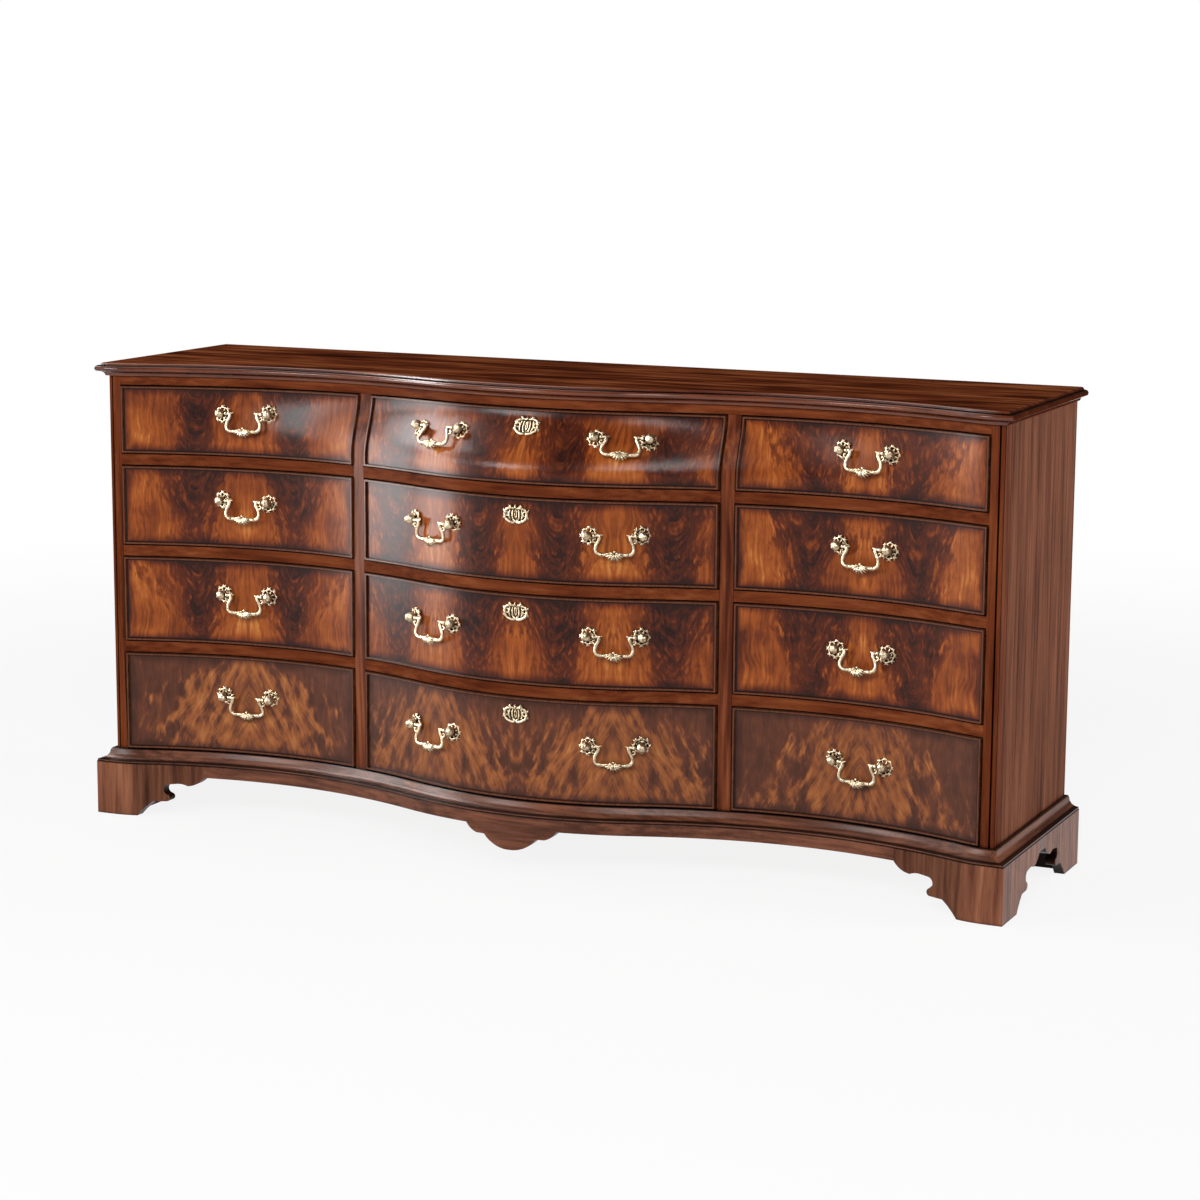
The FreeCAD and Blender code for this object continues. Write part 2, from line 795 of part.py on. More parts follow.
def make_bail(pull):
    # Swan-neck bail: pins in the balls, pinched shoulders, flared corners, a bar and a knop.
    across = pull["across"]
    half_span = pull["half_span"]

    def place(u, v):
        return pull["middle"] + across * u + pull["down"] * v

    shoulder = half_span - ball_radius - bail_ball_gap
    half_points = [(shoulder, 0), (bail_waist, 0), (bail_flare, bail_drop)]
    points = [place(-u, v) for u, v in half_points]
    points += [place(u, v) for u, v in reversed(half_points)]
    radii = [bail_waist_bend, bail_flare_bend, bail_flare_bend, bail_waist_bend]
    path = rounded_path(points, radii)
    section = Part.Wire([Part.makeCircle(bail_radius, points[0], across)])
    tube = turned_out(path.makePipeShell([section], True, False))
    for side in (-1, 1):
        reach = half_span - shoulder - ball_radius + pin_depth
        pin = Part.makeCylinder(pin_radius, reach, place(side * shoulder, 0), across * side)
        tube = tube.fuse(pin)
    knop_v = bail_drop + knop_offset
    arc = Part.Arc(
        place(-knop_half_length, knop_v + knop_tip_radius),
        place(0, knop_v + knop_radius),
        place(knop_half_length, knop_v + knop_tip_radius),
    )
    left = place(-knop_half_length, knop_v)
    right = place(knop_half_length, knop_v)
    rim = [
        Part.makeLine(left, place(-knop_half_length, knop_v + knop_tip_radius)),
        arc.toShape(),
        Part.makeLine(place(knop_half_length, knop_v + knop_tip_radius), right),
        Part.makeLine(right, left),
    ]
    knop = turned_out(Part.Face(Part.Wire(rim)).revolve(left, across, 360))
    return tube.fuse(knop).removeSplitter().Solids[0]


def save(name, pieces):
    shape = pieces[0] if len(pieces) == 1 else Part.makeCompound(pieces)
    shape.exportStep("parts/" + name + ".step")


os.makedirs("parts", exist_ok=True)
save("top_board", [make_top_board()])
save("side_panels", make_side_panels())
save("front_frame", make_front_frame())
save("partitions", make_partitions())
save("dust_boards", make_dust_boards())
save("back_panel", [make_back_panel()])
save("base_moulding", make_base_moulding())
save("bracket_feet", make_bracket_feet())
for row in rows:
    for column in columns:
        drawer_name = row + "_" + column
        save("drawer_front_" + drawer_name, make_drawer_front(row, column))
        save("drawer_box_" + drawer_name, make_drawer_box(row, column))
        save("pull_fittings_" + drawer_name, make_fittings(row, column))
        pulls = drawer_pulls(row, column)
        ends = [""] if len(pulls) == 1 else ["_left", "_right"]
        for pull, end in zip(pulls, ends):
            save("bail_" + drawer_name + end, [make_bail(pull)])
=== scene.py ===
import bpy
import json
import math
from mathutils import Matrix, Vector


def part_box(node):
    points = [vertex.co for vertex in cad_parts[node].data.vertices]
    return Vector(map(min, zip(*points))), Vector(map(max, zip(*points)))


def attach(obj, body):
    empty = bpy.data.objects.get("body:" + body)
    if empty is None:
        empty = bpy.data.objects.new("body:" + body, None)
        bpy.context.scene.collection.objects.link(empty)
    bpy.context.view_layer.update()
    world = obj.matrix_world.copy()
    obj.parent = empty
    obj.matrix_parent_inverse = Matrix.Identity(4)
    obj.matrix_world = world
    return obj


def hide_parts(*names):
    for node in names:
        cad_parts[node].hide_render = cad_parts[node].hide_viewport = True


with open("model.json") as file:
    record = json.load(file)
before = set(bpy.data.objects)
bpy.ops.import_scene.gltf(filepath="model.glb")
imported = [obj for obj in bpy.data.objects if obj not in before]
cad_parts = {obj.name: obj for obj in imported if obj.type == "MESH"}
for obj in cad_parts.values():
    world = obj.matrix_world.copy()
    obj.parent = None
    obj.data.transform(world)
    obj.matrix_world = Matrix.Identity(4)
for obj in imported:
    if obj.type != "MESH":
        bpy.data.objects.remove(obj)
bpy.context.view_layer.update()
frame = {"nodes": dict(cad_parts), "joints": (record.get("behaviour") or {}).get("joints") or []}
nodes = frame["nodes"]
rows = ("top", "upper", "lower", "bottom")
columns = ("left", "centre", "right")
drawers = [(row, column) for row in rows for column in columns]
# sizes below are in millimetres unless a note says otherwise, and the frame is in metres
mm = 0.001
perMetre = 1000
print("frame loaded:", len(nodes), "nodes")


# sRGB hex to linear, for every colour below
def linear(hexColour):
    parts = [int(hexColour[i:i + 2], 16) / 255 for i in (0, 2, 4)]
    return [c / 12.92 if c <= 0.04045 else ((c + 0.055) / 1.055) ** 2.4 for c in parts] + [1.0]


# node settings used again and again
add = {"operation": "ADD"}
subtract = {"operation": "SUBTRACT"}
multiply = {"operation": "MULTIPLY"}
multiplyAdd = {"operation": "MULTIPLY_ADD"}
divide = {"operation": "DIVIDE"}
scale = {"operation": "SCALE"}
squareRoot = {"operation": "SQRT"}
absolute = {"operation": "ABSOLUTE"}
smaller = {"operation": "MINIMUM"}
larger = {"operation": "MAXIMUM"}
isLess = {"operation": "LESS_THAN"}
isMore = {"operation": "GREATER_THAN"}
smooth = {"interpolation_type": "SMOOTHSTEP"}
mixFloat = {"data_type": "FLOAT"}
mixColour = {"data_type": "RGBA"}


# adds one node, sets it, links it, and gives back one output; stops fill a colour ramp, and
# the inputs come in order or by name
def addNode(tree, kind, settings, inputs, output=0):
    node = tree.nodes.new("ShaderNode" + kind)
    for name, value in settings.items():
        if name == "stops":
            elements = node.color_ramp.elements
            elements.remove(elements[1])
            elements[0].position = value[0][0]
            elements[0].color = linear(value[0][1])
            for place, colour in value[1:]:
                elements.new(place).color = linear(colour)
        else:
            setattr(node, name, value)
    for name, value in inputs.items() if isinstance(inputs, dict) else enumerate(inputs):
        if isinstance(value, bpy.types.NodeSocket):
            tree.links.new(value, node.inputs[name])
        else:
            node.inputs[name].default_value = value
    return node.outputs[output]


# a material with its plain shader values set on the shader itself
def startMaterial(name, sockets):
    material = bpy.data.materials.new(name)
    material.use_nodes = True
    shader = material.node_tree.nodes["Principled BSDF"]
    for socket, value in sockets.items():
        shader.inputs[socket].default_value = value
    return material, material.node_tree, shader


# the piece's own place in millimetres, as x, y and z
def millimetres(tree):
    place = addNode(tree, "TexCoord", {}, (), "Object")
    scaled = addNode(tree, "VectorMath", scale, {0: place, "Scale": perMetre})
    return addNode(tree, "SeparateXYZ", {}, (scaled,)).node.outputs


# which way the surface faces, as x, y and z
def facings(tree):
    facing = addNode(tree, "TexCoord", {}, (), "Normal")
    return addNode(tree, "SeparateXYZ", {}, (facing,)).node.outputs


seedStride = 7.3  # figure depths from one seed to the next
noiseMiddle = 0.5


# streaks of a width and length; the third size is how deep the figure keeps its form
def streaks(tree, across, along, depth, sizes, detail=2.0, seed=0.0):
    shifted = addNode(tree, "Math", add, (depth, seed * sizes[2] * seedStride))
    place = addNode(tree, "CombineXYZ", {}, (across, along, shifted))
    stretched = addNode(tree, "VectorMath", multiply, (place, [1 / size for size in sizes]))
    return addNode(tree, "TexNoise", {}, {"Vector": stretched, "Scale": 1.0, "Detail": detail})


# a value moved by noises, each about its middle and by its strength
def weighed(tree, start, parts):
    total = start
    for noise, strength in parts:
        part = addNode(tree, "Math", multiplyAdd, (noise, strength, -noiseMiddle * strength))
        total = addNode(tree, "Math", add, (total, part))
    return total


# crotch mahogany: book-matched leaves cut through a fork of the trunk, stained, glazed dark round the
# border and lacquered; the eye gets dark feathered plumes between bright, glossy, orange-brown fields.
# Three numbers are a width, a length and a depth, and four are a range and what it becomes
crotchVeneer = {
    "shine": {"Roughness": 0.24, "Specular IOR Level": 0.16},
    "leafCentre": 186.5,
    "stroke": (2.6, 30.0, 40.0),
    "drip": (5.0, 80.0, 40.0),
    "cloud": (52.0, 80.0, 40.0),
    "fibre": (1.3, 26.0, 40.0),  # coarser than real pores, so that it shows
    "fibreStrength": 0.16,
    "swirl": 62.0,
    "swirlReach": (13.0, 10.0, 0.0),
    "rowSeed": 3.1,
    "columnSeed": 0.11,
    "seedDepth": 200.0,
    "glazeWaver": 22.0,
    "glazeFade": (-2.0, 24.0, 0.42, 1.0),
    # partly glaze and partly painted shade: a near-black line where the field meets the proud bead
    "glazeAndShadeLine": (3.6, 8.0, 0.03, 1.0),
    "bead": 3.6,
    # painted shade: the bead's outer rim goes near black, as in the shadow of the gap
    "beadGapShade": (0.2, 1.6, 0.08, 1.0),
    "beadStops": ((0.3, "4c2718"), (0.7, "734229")),
    "endFacing": -0.2,
    "innerFacing": 0.4,
    "innerStops": ((0.3, "8f6c43"), (0.7, "b08a5a")),
    "pores": {"Strength": 0.12, "Distance": 0.3 * mm},
}
# dark plumes either side of a bright field on the upper rows, and light feathers that fall from the
# joint on a dark ground on the bottom row; shade says where they lie, inside and outside their tones
veneerFigures = {
    "plume": {
        "at": 106.0,
        "rounding": 22.0,
        "half": 50.0,
        "spread": 0.2,
        "twist": 0.8,  # makes the two sides of a plume differ
        "lean": 16.0,
        "rise": 1.0,
        "tuft": (8.0, 46.0, 40.0),
        "ruffle": (8.0, 15.0, 40.0),
        "shade": {"tufts": 2.4, "strokes": 1.2, "clouds": 2.8, "ruffles": 2.2},
        "edge": (-0.65, 0.55, 0.0, 1.0),
        "outside": (0.7, {"drips": 0.6, "clouds": 0.8, "ruffles": 0.25}),
        "inside": (0.27, {"strokes": 0.7, "tufts": 0.8, "ruffles": 0.6}),
        "stops": ((0.0, "170a08"), (0.2, "2f150f"), (0.4, "552412"), (0.57, "7a3a17"),
                  (0.74, "984e1f"), (0.88, "b1682f"), (1.0, "c48849")),
    },
    "feather": {
        "reach": (5.0, 80.0, 150.0, 60.0),
        "lean": 27.0,
        "rise": -1.0,
        "tuft": (13.0, 64.0, 40.0),
        "ruffle": (15.0, 30.0, 40.0),
        "shade": {"tufts": 2.2, "strokes": 0.7, "clouds": 2.0, "ruffles": 1.8},
        "edge": (-0.4, 0.5, 0.0, 1.0),
        "outside": (0.4, {"drips": 0.25, "clouds": 0.35, "ruffles": 0.35}),
        "inside": (0.62, {"strokes": 0.5, "tufts": 0.9, "ruffles": 0.6}),
        "stops": ((0.0, "21100b"), (0.28, "48291d"), (0.44, "603626"), (0.6, "824a2a"),
                  (0.8, "9e5f34"), (1.0, "b47c47")),
    },
}


# strokes that lean away from an axis, rising or falling with the sign of rise
def leaningStrokes(tree, aside, up, depth, look, sizes, seed):
    tilt = math.radians(look["lean"])
    risen = addNode(tree, "Math", multiply, (up, look["rise"]))
    alongUp = addNode(tree, "Math", multiply, (risen, math.cos(tilt)))
    along = addNode(tree, "Math", multiplyAdd, (aside, math.sin(tilt), alongUp))
    acrossUp = addNode(tree, "Math", multiply, (risen, -math.sin(tilt)))
    across = addNode(tree, "Math", multiplyAdd, (aside, math.cos(tilt), acrossUp))
    return streaks(tree, across, along, depth, sizes, 3.0, seed)


def veneerTone(tree, look, across, up, depth, seed):
    aside, strokeDepth = across, depth
    if "at" in look:
        # a plume stands aside from the joint, round at its spine and wider at the top
        fromPlume = addNode(tree, "Math", subtract, (across, look["at"]))
        squared = addNode(tree, "Math", multiplyAdd, (fromPlume, fromPlume, look["rounding"] ** 2))
        aside = addNode(tree, "Math", squareRoot, (squared,))
        strokeDepth = addNode(tree, "Math", multiplyAdd, (across, look["twist"], depth))
        reach = addNode(tree, "Math", multiplyAdd, (up, look["spread"], look["half"]))
    else:
        reach = addNode(tree, "MapRange", smooth, (up, *look["reach"]))
    parts = {
        "strokes": leaningStrokes(tree, aside, up, strokeDepth, look, crotchVeneer["stroke"], seed),
        "tufts": leaningStrokes(tree, aside, up, strokeDepth, look, look["tuft"], seed + 3),
        "drips": streaks(tree, across, up, depth, crotchVeneer["drip"], 3.0, seed + 1),
        "clouds": streaks(tree, across, up, depth, crotchVeneer["cloud"], 2.0, seed + 2),
        "ruffles": streaks(tree, across, up, depth, look["ruffle"], 3.0, seed + 4),
    }
    part = addNode(tree, "Math", divide, (aside, reach))
    nearness = addNode(tree, "Math", subtract, (1.0, part))
    tones = []
    for start, strengths in ((nearness, look["shade"]), look["outside"], look["inside"]):
        tones.append(weighed(tree, start, [(parts[name], size) for name, size in strengths.items()]))
    shade, outside, inside = tones
    share = addNode(tree, "MapRange", smooth, (shade, *look["edge"]))
    return addNode(tree, "Mix", mixFloat, {0: share, 2: outside, 3: inside})


def crotchMahogany(row, column):
    look = crotchVeneer
    low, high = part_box(f"drawer_front_{row}_{column}")
    middle = (low + high) / 2 * perMetre
    half = (high - low) / 2 * perMetre
    material, tree, shader = startMaterial(f"crotchMahogany_{row}_{column}", look["shine"])
    x, y, z = millimetres(tree)
    fromMiddle = addNode(tree, "Math", subtract, (x, middle.x))
    aside = addNode(tree, "Math", absolute, (fromMiddle,))
    up = addNode(tree, "Math", subtract, (z, middle.z))
    across = aside
    if column == "centre":
        fromLeaf = addNode(tree, "Math", subtract, (aside, look["leafCentre"]))
        across = addNode(tree, "Math", absolute, (fromLeaf,))
    seed = rows.index(row) * look["rowSeed"] + columns.index(column) * look["columnSeed"]
    # the leaves wander, alike on both sides of the joint
    place = addNode(tree, "CombineXYZ", {}, (across, up, seed * look["seedDepth"]))
    wander = {"Vector": place, "Scale": 1 / look["swirl"], "Detail": 2.0}
    swirl = addNode(tree, "TexNoise", {}, wander, "Color")
    centred = addNode(tree, "VectorMath", subtract, (swirl, [noiseMiddle] * 3))
    reach = [2 * size for size in look["swirlReach"]]
    moved = addNode(tree, "VectorMath", multiplyAdd, (centred, reach, place))
    leafX, leafZ, leafDepth = addNode(tree, "SeparateXYZ", {}, (moved,)).node.outputs
    figure = veneerFigures["feather" if row == "bottom" else "plume"]
    tone = veneerTone(tree, figure, leafX, leafZ, leafDepth, seed)
    fibre = streaks(tree, x, z, leafDepth, look["fibre"], 2.0, seed)
    tone = weighed(tree, tone, [(fibre, look["fibreStrength"])])
    # dark glaze that fades in from the border, and a thin line inside the bead that is partly glaze and partly
    # painted shade
    fromSide = addNode(tree, "Math", subtract, (half.x, aside))
    upAside = addNode(tree, "Math", absolute, (up,))
    fromTop = addNode(tree, "Math", subtract, (half.z, upAside))
    edge = addNode(tree, "Math", smaller, (fromSide, fromTop))
    clouds = streaks(tree, x, z, y, look["cloud"], 2.0, seed + 5)
    wavering = weighed(tree, edge, [(clouds, look["glazeWaver"])])
    glaze = addNode(tree, "MapRange", smooth, (wavering, *look["glazeFade"]))
    line = addNode(tree, "MapRange", smooth, (edge, *look["glazeAndShadeLine"]))
    tone = addNode(tree, "Math", multiply, (tone, glaze))
    tone = addNode(tree, "Math", multiply, (tone, line))
    veneer = addNode(tree, "ValToRGB", {"stops": figure["stops"]}, (tone,))
    # the bead is plain mahogany, with painted shade at its outer rim by the gap; the inner face is bare poplar
    facingY = facings(tree)[1]
    endGrain = addNode(tree, "Math", isMore, (facingY, look["endFacing"]))
    # painted shade along the bead's outer rim, left off the faces that do not look forward
    gapShade = addNode(tree, "MapRange", smooth, (edge, *look["beadGapShade"]))
    gapShade = addNode(tree, "Math", larger, (gapShade, endGrain))
    bead = addNode(tree, "ValToRGB", {"stops": look["beadStops"]}, (fibre,))
    bead = addNode(tree, "VectorMath", scale, {0: bead, "Scale": gapShade})
    onBead = addNode(tree, "Math", isLess, (edge, look["bead"]))
    face = addNode(tree, "Mix", mixColour, {0: onBead, 6: veneer, 7: bead}, 2)
    inward = addNode(tree, "Math", isMore, (facingY, look["innerFacing"]))
    poplar = addNode(tree, "ValToRGB", {"stops": look["innerStops"]}, (fibre,))
    face = addNode(tree, "Mix", mixColour, {0: inward, 6: face, 7: poplar}, 2)
    tree.links.new(face, shader.inputs["Base Color"])
    pores = addNode(tree, "Bump", {}, {**look["pores"], "Height": fibre})
    tree.links.new(pores, shader.inputs["Normal"])
    return material


# Cuban mahogany: straight-grained, quarter-sawn, stained red-brown and lacquered; ribbon streaks
# run with the length of each piece, and painted shade darkens the grooves
solidMahogany = {
    "ribbonStrength": 1.2,
    "mottle": (4.0, 1.2, 4.0),
    "mottleStrength": 0.9,
    "pore": (1.1, 24.0, 1.1),  # coarser than real pores, so that they show
    "poreStrength": 0.25,
    "wander": (110.0, 420.0, 110.0),
    "wanderReach": 26.0,
    "boardStrength": 0.08,
    "middleTone": 0.5,
    "groove": 9.0,
    # painted shade: how dark the colour goes in grooves and corners
    "grooveShade": (0.3, 0.85, 0.2, 1.0),
    "line": (0.5, 2.4, 0.12, 1.0),
    "red": ((0.0, "27110a"), (0.35, "4b2112"), (0.6, "6c351d"), (1.0, "8f5231")),
    "brown": ((0.0, "2b170f"), (0.35, "533022"), (0.6, "784935"), (1.0, "9c664a")),
}


# ribbons, broad mottle and pores along one axis; the grain wanders from side to side
def ribbonTone(tree, place, axis, board):
    look = solidMahogany
    first, second = [place[other] for other in "xyz" if other != axis]
    along, seed, ribbon = place[axis], board["seed"], board["ribbon"]
    wander = streaks(tree, first, along, second, look["wander"], 1.0, seed + 2)
    first = weighed(tree, first, [(wander, look["wanderReach"])])
    ribbons = streaks(tree, first, along, second, ribbon, 3.0, seed)
    broadSizes = [times * size for times, size in zip(look["mottle"], ribbon)]
    broad = streaks(tree, first, along, second, broadSizes, 2.0, seed + 1)
    pores = streaks(tree, first, along, second, look["pore"], 1.0, seed)
    return weighed(tree, look["middleTone"] + board["lift"], [
        (ribbons, look["ribbonStrength"] * board["contrast"]),
        (broad, look["mottleStrength"] * board["contrast"]),
        (pores, look["poreStrength"]),
    ])


# the top's streaks are strong on the flat, calm on the mouldings and dark on the end grain,
# and only the mouldings along the front and back shine
def mouldedTone(tree, shader, tone, look):
    facingX, _, facingUp = facings(tree)
    calm = addNode(tree, "MapRange", smooth, (facingUp, *look["calm"]))
    off = addNode(tree, "Math", subtract, (tone, solidMahogany["middleTone"]))
    tone = addNode(tree, "Math", multiplyAdd, (off, calm, solidMahogany["middleTone"]))
    aside = addNode(tree, "Math", absolute, (facingX,))
    endGrain = addNode(tree, "MapRange", smooth, (aside, *look["endGrain"]))
    ends = addNode(tree, "Math", multiply, (aside, look["endReach"]))
    flat = addNode(tree, "Math", larger, (facingUp, ends))
    level = addNode(tree, "MapRange", smooth, (flat, *look["shine"]))
    tree.links.new(level, shader.inputs["Specular IOR Level"])
    return addNode(tree, "Math", multiplyAdd, (endGrain, look["endShade"], tone))


# only a foot's outer faces are polished: sawn edges and braces are stained black, and painted
# shade darkens the front bracket past its corner block
def shellStainAndShade(tree, place, shadeAndStain, look):
    aside = addNode(tree, "Math", absolute, (place["x"],))
    onSide = addNode(tree, "Math", isMore, (aside, look["outer"]))
    forward = addNode(tree, "Math", isLess, (facings(tree)[1], look["forward"]))
    ahead = addNode(tree, "Math", isLess, (place["y"], look["front"]))
    onFront = addNode(tree, "Math", multiply, (forward, ahead))
    # painted shade on the front bracket inside its corner block
    bracket = addNode(tree, "MapRange", smooth, (aside, *look["bracket"]))
    onFront = addNode(tree, "Math", multiply, (onFront, bracket))
    shown = addNode(tree, "Math", larger, (onSide, onFront))
    shown = addNode(tree, "Math", larger, (shown, look["stain"]))
    return addNode(tree, "Math", multiply, (shadeAndStain, shown))


def straightMahogany(board):
    look = solidMahogany
    sockets = {"Roughness": board["rough"], "Specular IOR Level": board["shine"]}
    material, tree, shader = startMaterial("straightMahogany_" + board["name"], sockets)
    place = dict(zip("xyz", millimetres(tree)))
    tone = ribbonTone(tree, place, board["along"], board)
    if board["turn"]:
        limit, other = board["turn"]
        aside = addNode(tree, "Math", absolute, (place["x"],))
        past = addNode(tree, "Math", isMore, (aside, limit))
        turned = ribbonTone(tree, place, other, board)
        tone = addNode(tree, "Mix", mixFloat, {0: past, 2: tone, 3: turned})
    eachBoard = addNode(tree, "NewGeometry", {}, (), "Random Per Island")
    tone = weighed(tree, tone, [(eachBoard, look["boardStrength"])])
    if board["moulded"]:
        tone = mouldedTone(tree, shader, tone, board["moulded"])
    colour = addNode(tree, "ValToRGB", {"stops": look[board["stain"]]}, (tone,))
    # painted shade: darker where ambient occlusion finds a groove or corner close by
    reach = {"Distance": look["groove"] * mm}
    openness = addNode(tree, "AmbientOcclusion", {"samples": 6}, reach, "AO")
    shadeAndStain = addNode(tree, "MapRange", smooth, (openness, *look["grooveShade"]))
    # a dark line along each joint and quirk, alike on both sides of the case: partly old polish, partly
    # painted shade
    for axis, at in board["lines"]:
        coordinate = place[axis]
        if axis == "x":
            coordinate = addNode(tree, "Math", absolute, (coordinate,))
        fromLine = addNode(tree, "Math", subtract, (coordinate, at))
        off = addNode(tree, "Math", absolute, (fromLine,))
        line = addNode(tree, "MapRange", smooth, (off, *look["line"]))
        shadeAndStain = addNode(tree, "Math", multiply, (shadeAndStain, line))
    if board["shell"]:
        shadeAndStain = shellStainAndShade(tree, place, shadeAndStain, board["shell"])
    colour = addNode(tree, "VectorMath", scale, {0: colour, "Scale": shadeAndStain})
    tree.links.new(colour, shader.inputs["Base Color"])
    return material


# antique brass: cast, chased and lacquered; pale gold on the high places, brown in the hollows
antiqueBrass = {
    "hollow": 4.0,
    "grit": 0.9,  # coarser than real casting grit, so that it shows
    "gritStrength": 0.3,
    "chasing": 3.2,
    "chasingStrength": 1.1,
    "stops": ((0.35, "0f0906"), (0.6, "4c3a27"), (0.8, "a28a69"), (1.0, "d6c3a6")),
    "wornRough": (0.3, 0.9, 0.6, 0.36),
    "reliefGrit": 0.2,
    "relief": {"Strength": 0.6, "Distance": 1.2 * mm},
}


def castBrass():
    look = antiqueBrass
    material, tree, shader = startMaterial("antiqueBrass", {"Metallic": 1.0})
    place = addNode(tree, "TexCoord", {}, (), "Object")
    gritty = {"Vector": place, "Scale": perMetre / look["grit"], "Detail": 2.0}
    grit = addNode(tree, "TexNoise", {}, gritty)
    chased = {"Vector": place, "Scale": perMetre / look["chasing"], "Detail": 1.0}
    chasing = addNode(tree, "TexNoise", {}, chased)
    reach = {"Distance": look["hollow"] * mm}
    openness = addNode(tree, "AmbientOcclusion", {"samples": 8}, reach, "AO")
    strengths = [(grit, look["gritStrength"]), (chasing, look["chasingStrength"])]
    worn = weighed(tree, openness, strengths)
    colour = addNode(tree, "ValToRGB", {"stops": look["stops"]}, (worn,))
    tree.links.new(colour, shader.inputs["Base Color"])
    rough = addNode(tree, "MapRange", smooth, (worn, *look["wornRough"]))
    tree.links.new(rough, shader.inputs["Roughness"])
    relief = weighed(tree, chasing, [(grit, look["reliefGrit"])])
    bump = addNode(tree, "Bump", {}, {**look["relief"], "Height": relief})
    tree.links.new(bump, shader.inputs["Normal"])
    return material


# poplar: planed and left bare inside the drawers, stained on the back; pale, with faint straight grain
poplarBoards = {
    "shine": {"Roughness": 0.7, "Specular IOR Level": 0.25},
    "grain": (5.0, 260.0, 5.0),
    "pore": (0.9, 30.0, 0.9),  # coarser than real pores, so that they show
    "poreStrength": 0.25,
    "middleTone": 0.5,
    "sideways": 0.7,
    "bare": ((0.2, "9a7549"), (0.8, "bd9a6c")),
    "stained": ((0.2, "3c2416"), (0.8, "5d3b25")),
}


def planedPoplar(name, stops):
    look = poplarBoards
    material, tree, shader = startMaterial(name, look["shine"])
    x, y, z = millimetres(tree)
    tones = []
    for along, first in ((x, y), (y, x)):
        grain = streaks(tree, first, along, z, look["grain"], 3.0)
        pore = streaks(tree, first, along, z, look["pore"], 1.0)
        strengths = [(grain, 1.0), (pore, look["poreStrength"])]
        tones.append(weighed(tree, look["middleTone"], strengths))
    # boards that face sideways run front to back, the others run across
    aside = addNode(tree, "Math", absolute, (facings(tree)[0],))
    sideways = addNode(tree, "Math", isMore, (aside, look["sideways"]))
    tone = addNode(tree, "Mix", mixFloat, {0: sideways, 2: tones[0], 3: tones[1]})
    colour = addNode(tree, "ValToRGB", {"stops": stops}, (tone,))
    tree.links.new(colour, shader.inputs["Base Color"])
    return material


def finish(node, material):
    mesh = nodes[node].data
    mesh.materials.clear()
    mesh.materials.append(material)


# hand-eased arrises, so that every edge catches a line of light; angles in degrees
easedEdges = {
    "weld": 0.02,
    "flatAngle": 0.4,
    "sharpAngle": 40,
    "case": ("front_frame", "partitions", "base_moulding", "top_board", "side_panels"),
    "caseEdge": (1.0, 2),
    "frontEdge": (1.5, 3),
}


def easeEdges(node, edge):
    look = easedEdges
    weld = nodes[node].modifiers.new("weld", "WELD")
    weld.merge_threshold = look["weld"] * mm
    flat = nodes[node].modifiers.new("flat", "DECIMATE")
    flat.decimate_type = "DISSOLVE"
    flat.angle_limit = math.radians(look["flatAngle"])
    ease = nodes[node].modifiers.new("ease", "BEVEL")
    ease.width = edge[0] * mm
    ease.segments = edge[1]
    ease.limit_method = "ANGLE"
    ease.angle_limit = math.radians(look["sharpAngle"])
    nodes[node].modifiers.new("even", "WEIGHTED_NORMAL")


stileWidth = 25
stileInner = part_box("front_frame")[1].x * perMetre - stileWidth
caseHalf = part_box("side_panels")[1].x * perMetre
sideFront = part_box("side_panels")[0].y * perMetre
footOuter, footTop = [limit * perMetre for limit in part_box("bracket_feet")[1].xz]
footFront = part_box("bracket_feet")[0].y * perMetre
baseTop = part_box("base_moulding")[1].z * perMetre
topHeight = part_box("top_board")[1].z * perMetre
# along is the grain's axis; past a distance from the middle plane it turns to another axis
plainBoard = {
    "ribbon": (8.0, 200.0, 8.0),
    "stain": "red",
    "shine": 0.07,
    "rough": 0.25,
    "lift": 0.0,
    "contrast": 1.0,
    "turn": None,
    "lines": (),
    "moulded": None,
    "shell": None,
}
caseBoards = {
    "front_frame": {
        "name": "frame", "along": "x", "seed": 1.0, "turn": (stileInner, "z"),
        "shine": 0.004, "lift": 0.08, "contrast": 0.6,
        "lines": (("x", caseHalf - 8),),
    },
    "partitions": {"name": "partitions", "along": "z", "seed": 2.0},
    "base_moulding": {
        "name": "base", "along": "x", "seed": 3.0, "turn": (caseHalf, "y"),
        "stain": "brown", "shine": 0.14, "lift": -0.02, "contrast": 0.65,
        "lines": (("z", footTop), ("z", footTop + 4.6), ("z", baseTop)),
    },
    "top_board": {
        "name": "top", "along": "x", "seed": 4.0, "ribbon": (14.0, 190.0, 14.0),
        "shine": 0.5, "rough": 0.16, "lift": 0.08, "contrast": 1.5,
        "lines": (("z", topHeight - 5.4), ("z", topHeight - 17.5)),
        "moulded": {
            "calm": (0.8, 0.99, 0.3, 1.0), "endGrain": (0.35, 0.75, 0.0, 1.0), "endShade": -0.2,
            "endReach": 1.3, "shine": (0.8, 0.99, 0.5, 0.0),
        },
    },
    "side_panels": {
        "name": "sides", "along": "z", "seed": 5.0, "ribbon": (8.0, 300.0, 8.0),
        "stain": "brown", "shine": 0.002, "lift": 0.07, "contrast": 0.65,
        "lines": (("y", sideFront),),
    },
    "bracket_feet": {
        "name": "feet", "along": "z", "seed": 6.0, "ribbon": (7.0, 150.0, 7.0),
        "stain": "brown", "lift": 0.1, "contrast": 0.8,
        "lines": (("z", footTop),),
        "shell": {
            "outer": footOuter - 1.5, "front": footFront + 60, "forward": -0.5,
            # painted shade: the front bracket goes darker inside its corner block
            "bracket": (footOuter - 90, footOuter - 70, 0.62, 1.0), "stain": 0.1,
        },
    },
}
brass = castBrass()
for node, board in caseBoards.items():
    finish(node, straightMahogany({**plainBoard, **board}))
